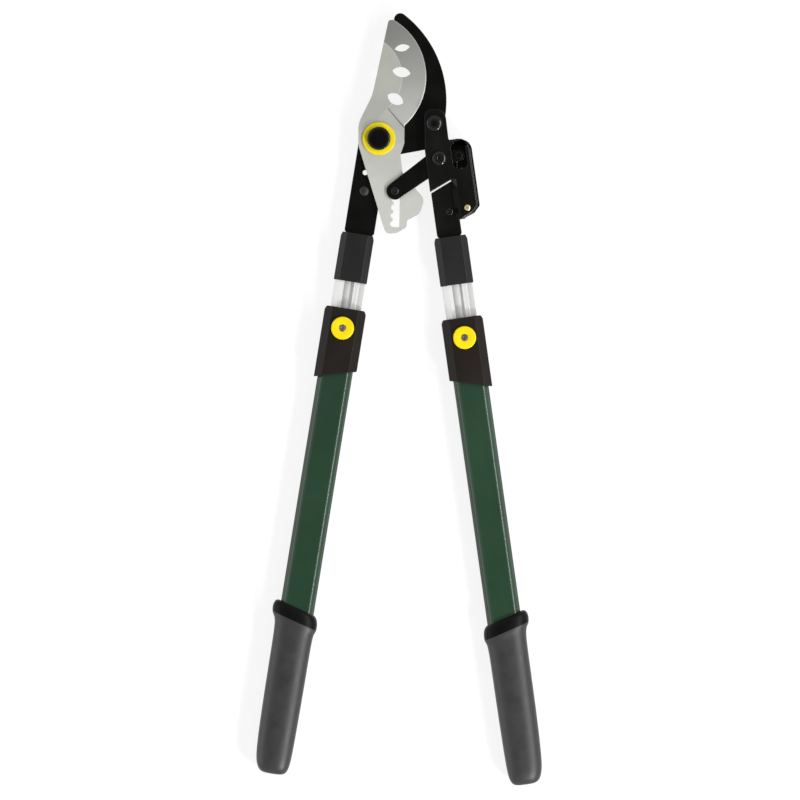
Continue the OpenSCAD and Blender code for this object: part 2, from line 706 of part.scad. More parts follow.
// Handles, each drawn from the middle of its collar top and down -Y
collar_thick = 20;
bevel_x = 5.5;
bevel_z = 4.5;
soft_r = 1.2;
collar_top_cut = 1.2;
collar_top_fall = 3.6;
tube_seat = 12.6;
tube_hold = 64;
groove_w = 8;
groove_depth = 3;
slot_w = 4.6;
lock_hole_d = 7.4;
neck_d = 4;
lock_collar_d = 6.8;
lock_collar_t = 2;
outer_w = inner_w + 2 * clear_gap + 2 * outer_wall;
outer_thick = inner_thick + 2 * clear_gap + 2 * outer_wall;
outer_start = 32;
outer_gap_end = 24;
well_wall = 1.5;
well_floor = inner_thick / 2 + clear_gap + well_wall;
button_t = 4;
button_top = sleeve_thick / 2 + button_proud;
groove_floor = inner_thick / 2 - groove_depth;

module tube_section(grow)
    polygon(bevelled(inner_w + 2 * grow, inner_thick + 2 * grow, bevel_x, bevel_z, soft_r));
module groove_section(grow) translate([-groove_w / 2 - grow, groove_floor - grow])
    square([groove_w + 2 * grow, groove_depth + 2 * grow + overrun]);
module inner_hollow(grow) {
    difference() {
        tube_section(grow - inner_wall);
        groove_section(inner_wall - grow);
    }
}
module outer_section(grow)
    polygon(bevelled(outer_w + 2 * grow, outer_thick + 2 * grow, bevel_x, bevel_z, soft_r));

module collar(tongue_z, tongue_t) {
    w = collar_w / 2;
    difference() {
        intersection() {
            run(0, collar_len) polygon(bevelled(collar_w, collar_thick, bevel_x, bevel_z, soft_r));
            raise(0, sleeve_thick)
                polygon([[collar_top_cut - w, 0], [-w, -collar_top_fall], [-w, -collar_len],
                    [w, -collar_len], [w, -collar_top_fall], [w - collar_top_cut, 0]]);
        }
        run(tube_seat, collar_len) tube_section(fit_gap);
        translate([-tongue_w / 2 - fit_gap, -tube_seat - overrun, tongue_z - fit_gap])
            cube([tongue_w + 2 * fit_gap, tube_seat + 2 * overrun, tongue_t + 2 * fit_gap]);
    }
}

function lock_place(shown) = collar_len + shown + button_drop;
function inner_end(shown) = lock_place(shown) + extend_travel + tube_hold;
module inner_tube(shown) {
    lock_at = lock_place(shown);
    difference() {
        run(tube_seat, inner_end(shown) - tube_seat) difference() {
            tube_section(0);
            groove_section(0);
            inner_hollow(0);
        }
        raise(mid_z, groove_floor + overrun) {
            translate([-slot_w / 2, -lock_at - extend_travel]) square([slot_w, extend_travel]);
            for (i = [0 : lock_stations - 1])
                translate([0, -lock_at - i * extend_travel / (lock_stations - 1)]) circle(d = lock_hole_d);
        }
    }
}

bush_head = 6;
bush_stem = 12;
module guide_bush(shown) {
    run(inner_end(shown), bush_head) tube_section(0);
    run(inner_end(shown) - bush_stem, bush_stem) inner_hollow(-fit_gap);
}

sleeve_top_cut = 1.6;
sleeve_top_fall = 3.2;
module lock_sleeve(shown) {
    top = collar_len + shown;
    w = sleeve_w / 2;
    inner_len = sleeve_len - sleeve_w * tan(sleeve_slant);
    translate([0, -top, 0]) difference() {
        intersection() {
            run(0, sleeve_len)
                polygon(bevelled(sleeve_w, sleeve_thick, bevel_x + outer_wall, bevel_z + outer_wall, soft_r));
            raise(0, sleeve_thick)
                polygon([[sleeve_top_cut - w, 0], [-w, -sleeve_top_fall], [-w, -sleeve_len],
                    [w, -inner_len], [w, -sleeve_top_fall], [w - sleeve_top_cut, 0]]);
        }
        run(-overrun, sleeve_len + 2 * overrun) tube_section(clear_gap);
        run(outer_start, sleeve_len) outer_section(fit_gap);
        translate([0, -button_drop, mid_z]) {
            translate([0, 0, well_floor]) cylinder(d = button_d + 2 * clear_gap, h = sleeve_thick);
            cylinder(d = neck_d + 2 * clear_gap, h = sleeve_thick);
        }
    }
}

module outer_tube(shown) {
    length = grip_end - outer_start - outer_gap_end;
    run(collar_len + shown + outer_start, length) difference() {
        outer_section(0);
        outer_section(-outer_wall);
    }
}

// Button: a cap with a pocket for its spring, and the steel lock pin through it
pin_cap_d = 6.3;
pin_cap_proud = 0.4;
pocket_outer_d = 15;
pocket_inner_d = 8;
pocket_depth = 2.4;
button_edge = 0.8;
module at_button(shown) translate([0, -lock_place(shown), mid_z]) children();

module button(shown) at_button(shown) difference() {
    union() {
        translate([0, 0, button_top - button_t]) cylinder(d = button_d, h = button_t - button_edge);
        translate([0, 0, button_top - button_edge])
            cylinder(d1 = button_d, d2 = button_d - 2 * button_edge, h = button_edge);
    }
    translate([0, 0, button_top - button_t - overrun]) {
        cylinder(d = pin_cap_d + 2 * fit_gap, h = button_t + 2 * overrun);
        ring(pocket_outer_d, pocket_inner_d, pocket_depth + overrun);
    }
}

module lock_pin(shown) at_button(shown) {
    cap_foot = button_top - button_t;
    collar_foot = groove_floor - inner_wall - clear_gap - lock_collar_t;
    translate([0, 0, cap_foot]) cylinder(d = pin_cap_d, h = button_t);
    translate([0, 0, button_top]) dome(pin_cap_d, pin_cap_proud);
    translate([0, 0, collar_foot]) cylinder(d = neck_d, h = cap_foot - collar_foot);
    translate([0, 0, collar_foot]) cylinder(d = lock_collar_d, h = lock_collar_t);
}

button_wire_d = 0.7;
button_coil_r = 5.75;
button_curls = 3;
button_spring_foot = well_floor + button_wire_d / 2;
button_spring_rise = button_top - button_t + pocket_depth - well_floor - button_wire_d;
button_path = [for (i = [0 : button_curls * rings_per_curl])
    let (a = 360 * i / rings_per_curl)
    [button_coil_r * cos(a), button_coil_r * sin(a),
        button_spring_foot + button_spring_rise * i / (button_curls * rings_per_curl)]];
echo(button_spring_least_gap = least_gap(button_path, button_wire_d));
module button_spring(shown) at_button(shown) wire(button_path, button_wire_d, [0, 0, 1]);

// Grip: soft rounded section, slanted flange on top, rounded end
// Each ring is place, width, thickness, slant and inward bow as shares
grip_shares = [[0, 0.99, 0.9, 1, -0.03], [0.012, 1.135, 0.99, 1, -0.03], [0.05, 1.22, 1.03, 1, -0.03],
    [0.08, 1.2, 1.025, 1, -0.025], [0.1, 1.105, 1, 1, -0.012], [0.13, 1.035, 0.97, 0.9, 0],
    [0.24, 1.005, 0.96, 0.5, 0], [0.45, 1, 1, 0.1, 0], [0.7, 0.98, 1, 0, 0],
    [0.86, 0.94, 0.985, 0, 0.006], [0.92, 0.895, 0.955, 0, 0.014], [0.96, 0.815, 0.88, 0, 0.026],
    [0.986, 0.69, 0.73, 0, 0.035], [1, 0.48, 0.48, 0, 0.04]];
grip_points = 32;
grip_power = 0.78;
function soft(c) = c < 0 ? -pow(-c, grip_power) : pow(c, grip_power);
function grip_ring(top, s) =
    [for (j = [0 : grip_points - 1])
        let (a = -360 * j / grip_points)
        let (x = grip_w * (s[1] / 2 * soft(cos(a)) + s[4]), z = grip_thick * s[2] / 2 * soft(sin(a)))
        [x, -top - grip_len * s[0] - x * tan(grip_slant) * s[3], mid_z + z]];

module grip(shown) {
    top = collar_len + shown + grip_end - grip_len;
    tube_end = collar_len + shown + grip_end - outer_gap_end;
    difference() {
        skin([for (s = grip_shares) grip_ring(top, s)]);
        run(top - grip_w, tube_end - top + grip_w + fit_gap) outer_section(fit_gap);
    }
}

// Left handle
module left_collar() color("#2d2d2d") on_left() collar(hook_z, hook_t);
module left_inner_tube() color("#e4e4e0") on_left() inner_tube(left_shown);
module left_guide_bush() color("#3a3a3a") on_left() guide_bush(left_shown);
module left_lock_sleeve() color("#2d2d2d") on_left() lock_sleeve(left_shown);
module left_outer_tube() color("#204832") on_left() outer_tube(left_shown);
module left_grip() color("#3c3c3e") on_left() grip(left_shown);
module left_button() color("#ffe600") on_left() button(left_shown);
module left_lock_pin() color("#c8c8c4") on_left() lock_pin(left_shown);
module left_button_spring() color("#b0b0ac") on_left() button_spring(left_shown);

// Right handle, the left one mirrored
module right_collar() color("#2d2d2d") on_right() collar(core_z, core_t);
module right_inner_tube() color("#e4e4e0") on_right() inner_tube(right_shown);
module right_guide_bush() color("#3a3a3a") on_right() guide_bush(right_shown);
module right_lock_sleeve() color("#2d2d2d") on_right() mirror([1, 0, 0]) lock_sleeve(right_shown);
module right_outer_tube() color("#204832") on_right() outer_tube(right_shown);
module right_grip() color("#3c3c3e") on_right() mirror([1, 0, 0]) grip(right_shown);
module right_button() color("#ffe600") on_right() button(right_shown);
module right_lock_pin() color("#c8c8c4") on_right() lock_pin(right_shown);
module right_button_spring() color("#b0b0ac") on_right() button_spring(right_shown);

hook_plate();
blade_stop();
pivot_bolt();
pivot_washer();
pivot_nut();
blade();
arm_front_plate();
arm_back_plate();
arm_core();
arm_pivot_bolt();
arm_pivot_spacer();
link_pivot_bolt();
link_spacers();
arm_rivet();
spring_anchor();
ratchet_spring();
link_front_plate();
link_back_plate();
ratchet_pin();
spring_post();
left_collar();
left_inner_tube();
left_guide_bush();
left_lock_sleeve();
left_outer_tube();
left_grip();
left_button();
left_lock_pin();
left_button_spring();
right_collar();
right_inner_tube();
right_guide_bush();
right_lock_sleeve();
right_outer_tube();
right_grip();
right_button();
right_lock_pin();
right_button_spring();
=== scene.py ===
import json
import math

import bmesh
import bpy
from mathutils import Matrix, Vector


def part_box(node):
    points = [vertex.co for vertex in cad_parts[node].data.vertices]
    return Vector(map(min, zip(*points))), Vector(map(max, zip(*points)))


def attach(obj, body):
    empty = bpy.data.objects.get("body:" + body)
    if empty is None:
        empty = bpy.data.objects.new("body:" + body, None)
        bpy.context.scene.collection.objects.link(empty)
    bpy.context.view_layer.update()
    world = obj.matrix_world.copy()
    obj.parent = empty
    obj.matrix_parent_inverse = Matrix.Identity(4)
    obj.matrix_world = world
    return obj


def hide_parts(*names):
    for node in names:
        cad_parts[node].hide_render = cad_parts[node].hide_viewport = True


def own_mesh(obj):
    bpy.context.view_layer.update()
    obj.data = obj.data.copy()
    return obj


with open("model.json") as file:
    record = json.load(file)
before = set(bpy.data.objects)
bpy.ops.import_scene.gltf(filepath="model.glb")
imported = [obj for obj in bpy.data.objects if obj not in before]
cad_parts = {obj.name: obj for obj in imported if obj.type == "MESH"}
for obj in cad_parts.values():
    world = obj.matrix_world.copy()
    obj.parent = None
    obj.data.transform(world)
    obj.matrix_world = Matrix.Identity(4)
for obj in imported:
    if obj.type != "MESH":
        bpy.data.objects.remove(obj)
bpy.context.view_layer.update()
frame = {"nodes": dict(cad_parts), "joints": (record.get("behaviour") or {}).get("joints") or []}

# The studio: a sheet of white card under the tool and a white tent round it, open over the camera,
# with a small soft box at the lower right, a lit wall on the left and a strip light on the right.
# The camera hangs square over the tool on a long lens, nearly without perspective.
WHITE = (1.0, 1.0, 1.0)
PHOTO_WIDTH = 0.72
PHOTO_MIDDLE = (0.00089, -0.00052)
FACE_HEIGHT = 0.02
CAMERA_HEIGHT = 6.0
SENSOR_WIDTH = 36.0
TENT_LIGHT = 0.41
# the tent's brightness by height, from the floor to the opening over the camera
TENT_SHADES = [(0.0, 0.75), (0.35, 0.78), (0.62, 0.72), (0.80, 0.80), (0.92, 0.45), (0.99, 0.10)]
CARD_HALF = 12.0
CARD_GLOW = 0.85


def soft_box(name, place, length, width, watts):
    """A soft box that looks at the middle of the tool, its long side level."""
    data = bpy.data.lights.new(name, "AREA")
    data.shape = "RECTANGLE"
    data.size = length
    data.size_y = width
    data.energy = watts
    lamp = bpy.data.objects.new(name, data)
    lamp.location = place
    lamp.rotation_euler = (-Vector(place)).to_track_quat("-Z", "Y").to_euler()
    scene.collection.objects.link(lamp)


def finish(name, colour, rough, metal=0.0, specular=0.5):
    """A new material and its shader, with the even values on the shader's own sockets."""
    material = bpy.data.materials.new(name)
    material.use_nodes = True
    shader = material.node_tree.nodes["Principled BSDF"]
    shader.inputs["Base Color"].default_value = (*colour, 1)
    shader.inputs["Roughness"].default_value = rough
    shader.inputs["Metallic"].default_value = metal
    shader.inputs["Specular IOR Level"].default_value = specular
    return material, shader


def worked(owner, operation, a, b=0.0):
    """One step of arithmetic on sockets or plain numbers, in a material or world."""
    node = owner.node_tree.nodes.new("ShaderNodeMath")
    node.operation = operation
    for socket, value in zip(node.inputs, (a, b)):
        if isinstance(value, (int, float)):
            socket.default_value = value
        else:
            owner.node_tree.links.new(value, socket)
    return node.outputs[0]


def ray_mask(owner, *kinds):
    """1 on the named kinds of ray."""
    path = owner.node_tree.nodes.new("ShaderNodeLightPath")
    mask = path.outputs[kinds[0]]
    for kind in kinds[1:]:
        mask = worked(owner, "MAXIMUM", mask, path.outputs[kind])
    return mask


def parts_of(owner, vector):
    """The X, Y and Z of a vector."""
    node = owner.node_tree.nodes.new("ShaderNodeSeparateXYZ")
    owner.node_tree.links.new(vector, node.inputs[0])
    return node.outputs


def shades(owner, factor, stops):
    """Colours along a factor, as (place, colour) stops."""
    ramp = owner.node_tree.nodes.new("ShaderNodeValToRGB")
    elements = ramp.color_ramp.elements
    while len(elements) < len(stops):
        elements.new(0.5)
    for element, (place, colour) in zip(elements, stops):
        element.position = place
        element.color = (*colour, 1)
    owner.node_tree.links.new(factor, ramp.inputs["Fac"])
    return ramp.outputs["Color"]


scene = bpy.context.scene
scene.view_settings.view_transform = "Standard"
camera_data = bpy.data.cameras.new("over_the_bench")
camera_data.sensor_width = SENSOR_WIDTH
camera_data.lens = SENSOR_WIDTH * (CAMERA_HEIGHT - FACE_HEIGHT) / PHOTO_WIDTH
camera_data.clip_end = 10.0 * CAMERA_HEIGHT
camera = bpy.data.objects.new("over_the_bench", camera_data)
camera.location = (*PHOTO_MIDDLE, CAMERA_HEIGHT)
scene.collection.objects.link(camera)
scene.camera = camera

soft_box("low_right_box", (1.135, -1.353, 1.31), 0.25, 0.25, 24.0)
soft_box("left_wall", (-1.80, 0.0, 0.55), 2.0, 0.9, 8.0)
soft_box("right_strip", (1.47, 0.0, 1.64), 2.0, 0.25, 24.0)

tent = bpy.data.worlds.new("white_tent")
tent.use_nodes = True
scene.world = tent
tent_nodes, tent_links = tent.node_tree.nodes, tent.node_tree.links
tent_light = tent_nodes["Background"]
tent_wall = tent_nodes.new("ShaderNodeBackground")
tent_white = tent_nodes.new("ShaderNodeBackground")
for backdrop, strength in ((tent_light, TENT_LIGHT), (tent_wall, 1.0), (tent_white, 1.0)):
    backdrop.inputs["Color"].default_value = (*WHITE, 1)
    backdrop.inputs["Strength"].default_value = strength
tent_way = parts_of(tent, tent_nodes.new("ShaderNodeTexCoord").outputs["Generated"])
tent_stops = [(height, (bright, bright, bright)) for height, bright in TENT_SHADES]
tent_links.new(shades(tent, tent_way["Z"], tent_stops), tent_wall.inputs["Color"])
tent_look = tent_light.outputs[0]
for mask, backdrop in ((ray_mask(tent, "Is Glossy Ray"), tent_wall),
                       (ray_mask(tent, "Is Camera Ray", "Is Transmission Ray"), tent_white)):
    mix = tent_nodes.new("ShaderNodeMixShader")
    tent_links.new(mask, mix.inputs["Fac"])
    tent_links.new(tent_look, mix.inputs[1])
    tent_links.new(backdrop.outputs[0], mix.inputs[2])
    tent_look = mix.outputs[0]
tent_links.new(tent_look, tent_nodes["World Output"].inputs["Surface"])

card_mesh = bmesh.new()
bmesh.ops.create_grid(card_mesh, x_segments=2, y_segments=2, size=CARD_HALF)
card_data = bpy.data.meshes.new("card")
card_mesh.to_mesh(card_data)
card_mesh.free()
card = bpy.data.objects.new("card", card_data)
scene.collection.objects.link(card)
card_paper, card_face = finish("white_card", (0.2, 0.2, 0.2), 0.9, specular=0.0)
card_nodes, card_links = card_paper.node_tree.nodes, card_paper.node_tree.links
card_seen = ray_mask(card_paper, "Is Camera Ray", "Is Glossy Ray", "Is Transmission Ray")
card_glow = card_nodes.new("ShaderNodeEmission")
card_glow.inputs["Color"].default_value = (*WHITE, 1)
card_links.new(worked(card_paper, "MULTIPLY", card_seen, CARD_GLOW), card_glow.inputs["Strength"])
card_add = card_nodes.new("ShaderNodeAddShader")
card_links.new(card_face.outputs[0], card_add.inputs[0])
card_links.new(card_glow.outputs[0], card_add.inputs[1])
card_links.new(card_add.outputs[0], card_nodes["Material Output"].inputs["Surface"])
card_data.materials.append(card_paper)

# The hook plate: one black-painted steel plate with the counter edge, the hub of the blade pivot, the
# lobe of the arm pivot and the tang of the left handle. It is blanked, and its edges are tumbled.
MM = 0.001
TINY = 1e-6
CAD_MERGE = 2e-6
# in degrees: turns that count as flat, and as a sharp edge of a plate or moulding
FLAT_TURN, EDGE_TURN = 0.3, 28.0
# where a noise starts and stops to tell
CLOUD_LOW, CLOUD_HIGH = 0.3, 0.7


def placed(material, cell=(1.0, 1.0, 1.0), turn=0.0, origin=(0.0, 0.0, 0.0)):
    """The piece's own coordinates, measured from an origin along turned axes in cells of a pattern."""
    nodes, links = material.node_tree.nodes, material.node_tree.links
    coords = nodes.new("ShaderNodeTexCoord")
    mapping = nodes.new("ShaderNodeMapping")
    mapping.vector_type = "TEXTURE"
    mapping.inputs["Location"].default_value = origin
    mapping.inputs["Rotation"].default_value = (0.0, 0.0, turn)
    mapping.inputs["Scale"].default_value = cell
    links.new(coords.outputs["Object"], mapping.inputs["Vector"])
    return mapping.outputs["Vector"]


def grain(material, vector, scale, detail=4.0):
    """Even noise, for the clouding, grain or peel of a surface."""
    noise = material.node_tree.nodes.new("ShaderNodeTexNoise")
    noise.inputs["Scale"].default_value = scale
    noise.inputs["Detail"].default_value = detail
    material.node_tree.links.new(vector, noise.inputs["Vector"])
    return noise.outputs["Fac"]


def spread(material, factor, low, high, least=CLOUD_LOW, most=CLOUD_HIGH):
    """A factor spread between two values."""
    node = material.node_tree.nodes.new("ShaderNodeMapRange")
    node.inputs["From Min"].default_value = least
    node.inputs["From Max"].default_value = most
    node.inputs["To Min"].default_value = low
    node.inputs["To Max"].default_value = high
    material.node_tree.links.new(factor, node.inputs["Value"])
    return node.outputs["Result"]


def relief(material, shader, factor, depth):
    """Fine relief of the surface, in metres."""
    bump = material.node_tree.nodes.new("ShaderNodeBump")
    bump.inputs["Distance"].default_value = depth
    material.node_tree.links.new(factor, bump.inputs["Height"])
    material.node_tree.links.new(bump.outputs["Normal"], shader.inputs["Normal"])


def coated(name, dark, light, rough, peel_scale, peel_depth, metal=0.0, specular=0.5, cloud=45.0):
    """A finish with clouded colour, uneven gloss and a fine relief."""
    material, shader = finish(name, light, rough[0], metal, specular)
    vector = placed(material)
    clouds = grain(material, vector, cloud)
    colour = shades(material, clouds, [(CLOUD_LOW, dark), (CLOUD_HIGH, light)])
    links = material.node_tree.links
    links.new(colour, shader.inputs["Base Color"])
    links.new(spread(material, clouds, *rough), shader.inputs["Roughness"])
    relief(material, shader, grain(material, vector, peel_scale, 2.0), peel_depth)
    return material


def piece(name, bm, material, body, slot, *nodes, smooth=35.0, flats=True):
    """Shows a mesh as a piece that rides on a body and stands for its nodes; flats stay flat."""
    data = bpy.data.meshes.new(name)
    bm.to_mesh(data)
    bm.free()
    data.shade_smooth()
    data.set_sharp_from_angle(angle=math.radians(smooth))
    data.materials.append(material)
    made = bpy.data.objects.new(name, data)
    scene.collection.objects.link(made)
    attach(made, body)
    if nodes:
        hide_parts(*nodes)
    if flats:
        made.modifiers.new("even_faces", "WEIGHTED_NORMAL").keep_sharp = True
    return made


def sharp_edges(bm, least):
    """The edges of a mesh that turn by more than an angle in degrees."""
    turn = math.radians(least)
    return [e for e in bm.edges if len(e.link_faces) == 2 and e.calc_face_angle() > turn]


def rounded(bm, edges, width, segments, clamp=False):
    """Rounds the chosen edges of a mesh."""
    bmesh.ops.bevel(bm, geom=edges, offset=width, offset_type="OFFSET", affect="EDGES",
                    segments=segments, profile=0.5, material=-1, clamp_overlap=clamp)
    bmesh.ops.dissolve_degenerate(bm, dist=TINY, edges=bm.edges)


def merged(node):
    """A copy of a node with its loose triangles merged to flat faces."""
    bm = bmesh.new()
    bm.from_mesh(frame["nodes"][node].data)
    bmesh.ops.remove_doubles(bm, verts=bm.verts, dist=CAD_MERGE)
    bmesh.ops.dissolve_limit(bm, angle_limit=math.radians(FLAT_TURN), verts=bm.verts, edges=bm.edges,
                             delimit={"NORMAL"})
    return bm


def eased(node, width, segments=2, clamp=False):
    """A copy of a node with its sharp edges rounded."""
    bm = merged(node)
    rounded(bm, sharp_edges(bm, EDGE_TURN), width, segments, clamp)
    return bm


black_steel = coated("black_steel", (0.0014, 0.0014, 0.0011), (0.0027, 0.0026, 0.0021), (0.22, 0.30),
                     1500.0, 0.00001, specular=0.28)
piece("hook_plate_painted", eased("hook_plate", 0.5 * MM), black_steel, "hook_side", "black_steel",
      "hook_plate")

# The blade stop: a plain dull rivet set in the hook plate, with a low domed head on each side.
# It is turned from rod and closed cold.
ROUND_TURN = 30.0  # in degrees: the turn of a sharp edge on a turned piece
# a punched dimple from its lip to its middle, as shares of its radius and depth
DIMPLE = [(1.0, 0.0), (0.86, 0.8), (0.55, 1.0), (0.0, 1.0)]
DIMPLE_ROOM = 1.08


def turned(profile, x, y, steps=72, closed=False, ease=0.0):
    """A piece turned round a standing axis from its half profile, given as radius and height."""
    bm = bmesh.new()
    verts = [bm.verts.new((x + r, y, z)) for r, z in profile]
    pairs = list(zip(verts, verts[1:])) + ([(verts[-1], verts[0])] if closed else [])
    edges = [bm.edges.new(pair) for pair in pairs]
    bmesh.ops.spin(bm, geom=verts + edges, cent=(x, y, 0.0), axis=(0.0, 0.0, 1.0), angle=math.tau,
                   steps=steps, use_merge=True)
    bmesh.ops.remove_doubles(bm, verts=bm.verts, dist=TINY)
    bmesh.ops.recalc_face_normals(bm, faces=bm.faces)
    if ease:
        rounded(bm, sharp_edges(bm, ROUND_TURN), ease, 2)
    return bm


def dome(radius, low, high, rim, steps=9, full=2.0):
    """Half profile of a domed head from its rim up to the axis, flatter on top where it is fuller."""
    rise, power = high - low - rim, 2.0 / full
    arc = [(i + 1) / steps * math.pi / 2 for i in range(steps - 1)]
    curve = [(radius * math.cos(a) ** power, low + rim + rise * math.sin(a) ** power) for a in arc]
    return [(radius, low), (radius, low + rim)] + curve + [(0.0, high)]


def middle(node):
    """The axis of a round node, and its lowest and highest point."""
    low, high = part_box(node)
    return (low[0] + high[0]) / 2, (low[1] + high[1]) / 2, low[2], high[2]


def through_bolt(name, node, plates, sizes, material, body, slot, foot_rim=0.0, dimple=None):
    """A bolt with a domed head on both sides of its plates, and maybe a dimple in the front one."""
    x, y, low, high = middle(node)
    back, front = plates
    shank, head, rim = sizes
    upper = dome(head, front, high, rim)
    if dimple:
        radius, depth = dimple
        lip = high - (high - front - rim) * (1.0 - math.sqrt(1.0 - (radius / head) ** 2))
        upper = [p for p in upper if p[0] > radius * DIMPLE_ROOM]
        upper += [(radius * r, lip - depth * d) for r, d in DIMPLE]
    lower = [(r, -z) for r, z in reversed(dome(head, -back, -low, foot_rim or rim))]
    profile = lower + [(shank, back), (shank, front)] + upper
    piece(name, turned(profile, x, y, ease=0.15 * MM), material, body, slot, node)


dull_steel = coated("dull_steel", (0.020, 0.020, 0.019), (0.045, 0.045, 0.042), (0.35, 0.5), 900.0,
                    0.00002, metal=0.8)
hook_low, hook_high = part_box("hook_plate")
through_bolt("blade_stop_rivet", "blade_stop", (hook_low[2], hook_high[2]), (3.0 * MM, 4.5 * MM, 1.0 * MM),
             dull_steel, "hook_side", "grey_steel", foot_rim=0.5 * MM)

# The blade: satin ground steel plate. A wide bevel is ground along the convex edge, the tail has a
# toothed slot for the ratchet pin, and three lens-shaped holes lighten the flat.
EDGE_FROM_PIVOT = (-16.648 * MM, 55.905 * MM)  # the middle of the cutting arc
EDGE_R, EDGE_LIP = 59.3 * MM, 0.7 * MM  # its radius and the width of its keen line
HEEL_ANGLE, HEEL_BAND = math.radians(-49.8), math.radians(1.6)
BEVEL_TILT, BEVEL_ROOM = math.radians(8.8), 0.25
# heights from the middle of the arc: tip of the bevel, its heel, end of the tail
TIP_Y, HEEL_Y, TAIL_Y = 42.0 * MM, -45.0 * MM, -140.0 * MM
GRIND_CELL, GRIND_TURN = (1 / 60, 1 / 2400, 1 / 60), 0.5
# painted light and shade: the flat is painted lighter down towards the tail, the bevel darker up towards its
# tip
FLAT_PAINTED_LIGHT = [(0.0, (0.520, 0.527, 0.480)), (0.2, (0.625, 0.633, 0.585)), (1.0, (0.700, 0.708, 0.660))]
BEVEL_PAINTED_SHADE = [(0.0, (0.440, 0.444, 0.422)), (0.5, (0.310, 0.313, 0.296)), (1.0, (0.262, 0.265, 0.252))]
# the keen grey is a painted highlight on the edge, the heel grey a painted shadow at the bevel's heel
FLAT_CLOUD, KEEN_PAINTED_HIGHLIGHT, HEEL_PAINTED_SHADOW = (0.25, 0.254, 0.23), (0.88, 0.88, 0.86), (0.10, 0.10, 0.095)


def mixed(material, factor, colour, other):
    """A colour that turns to another one with a factor."""
    node = material.node_tree.nodes.new("ShaderNodeMix")
    node.data_type = "RGBA"
    material.node_tree.links.new(factor, node.inputs["Factor"])
    for socket, value in ((node.inputs["A"], colour), (node.inputs["B"], other)):
        if isinstance(value, tuple):
            socket.default_value = (*value, 1)
        else:
            material.node_tree.links.new(value, socket)
    return node.outputs["Result"]


def reshaded(made, normal_at, *about):
    """Gives the corners of a piece the shading normals of a truer form, where it has one."""
    data = made.data
    normals = [corner.vector.copy() for corner in data.corner_normals]
    for face in data.polygons:
        for i in face.loop_indices:
            place = data.vertices[data.loops[i].vertex_index].co
            normals[i] = normal_at(face, place, *about) or normals[i]
    data.normals_split_custom_set(normals)


def cone_normal(face, place, centre):
    """The normal of the ground cone on the faces of the bevel."""
    steep, slight = BEVEL_TILT * (1.0 + BEVEL_ROOM), BEVEL_TILT * (1.0 - BEVEL_ROOM)
    if not math.cos(steep) < face.normal.z < math.cos(slight):
        return None
    outward = Vector((place.x - centre.x, place.y - centre.y, 0.0)).normalized()
    return outward * math.sin(BEVEL_TILT) + Vector((0.0, 0.0, math.cos(BEVEL_TILT)))


pivot = Vector((*middle("pivot_bolt")[:2], 0.0))
edge_middle = pivot + Vector((*EDGE_FROM_PIVOT, 0.0))
blade_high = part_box("blade")[1][2]
blade_steel, blade_shader = finish("blade_steel", (0.50, 0.51, 0.47), 0.58, 1.0)
blade_lines = grain(blade_steel, placed(blade_steel, GRIND_CELL, GRIND_TURN), 1.0, 3.0)
blade_clouds = grain(blade_steel, placed(blade_steel), 35.0)
blade_x, blade_y, blade_z = parts_of(blade_steel, placed(blade_steel, origin=edge_middle))
down_tail = spread(blade_steel, blade_y, 0.0, 1.0, HEEL_Y, TAIL_Y)
up_blade = spread(blade_steel, blade_y, 0.0, 1.0, HEEL_Y, TIP_Y)
ground = spread(blade_steel, blade_z, 1.0, 0.0, blade_high - 0.10 * MM, blade_high - 0.03 * MM)
edge_turn = worked(blade_steel, "ARCTAN2", blade_y, blade_x)
# painted shadow: a dark band where the bevel ends in a step at its heel
heel = spread(blade_steel, edge_turn, 0.8, 0.0, HEEL_ANGLE + HEEL_BAND * 0.4, HEEL_ANGLE + HEEL_BAND)
squares = [worked(blade_steel, "MULTIPLY", way, way) for way in (blade_x, blade_y)]
edge_reach = worked(blade_steel, "SQRT", worked(blade_steel, "ADD", *squares))
# painted highlight: a light line along the keen edge, strongest on the lower half of the arc and fading
# towards the tip
keen = spread(blade_steel, edge_reach, 0.0, 0.7, EDGE_R - EDGE_LIP * 1.4, EDGE_R - EDGE_LIP * 0.8)
keen = worked(blade_steel, "MULTIPLY", keen, spread(blade_steel, up_blade, 1.0, 0.25, 0.35, 0.60))
# painted light and shade: the flat lighter towards the tail, the bevel darker towards its tip
flat_colour = mixed(blade_steel, spread(blade_steel, blade_clouds, 0.16, 0.0),
                    shades(blade_steel, down_tail, FLAT_PAINTED_LIGHT), FLAT_CLOUD)
bevel_colour = mixed(blade_steel, keen, shades(blade_steel, up_blade, BEVEL_PAINTED_SHADE), KEEN_PAINTED_HIGHLIGHT)
bevel_colour = mixed(blade_steel, heel, bevel_colour, HEEL_PAINTED_SHADOW)
blade_links = blade_steel.node_tree.links
blade_links.new(mixed(blade_steel, ground, flat_colour, bevel_colour), blade_shader.inputs["Base Color"])
blade_links.new(spread(blade_steel, blade_lines, 0.54, 0.64), blade_shader.inputs["Roughness"])
relief(blade_steel, blade_shader, blade_lines, 0.000006)
blade_ground = piece("blade_ground", eased("blade", 0.22 * MM, clamp=True), blade_steel, "blade",
                     "blade_steel", "blade", smooth=5.0, flats=False)
reshaded(blade_ground, cone_normal, edge_middle)

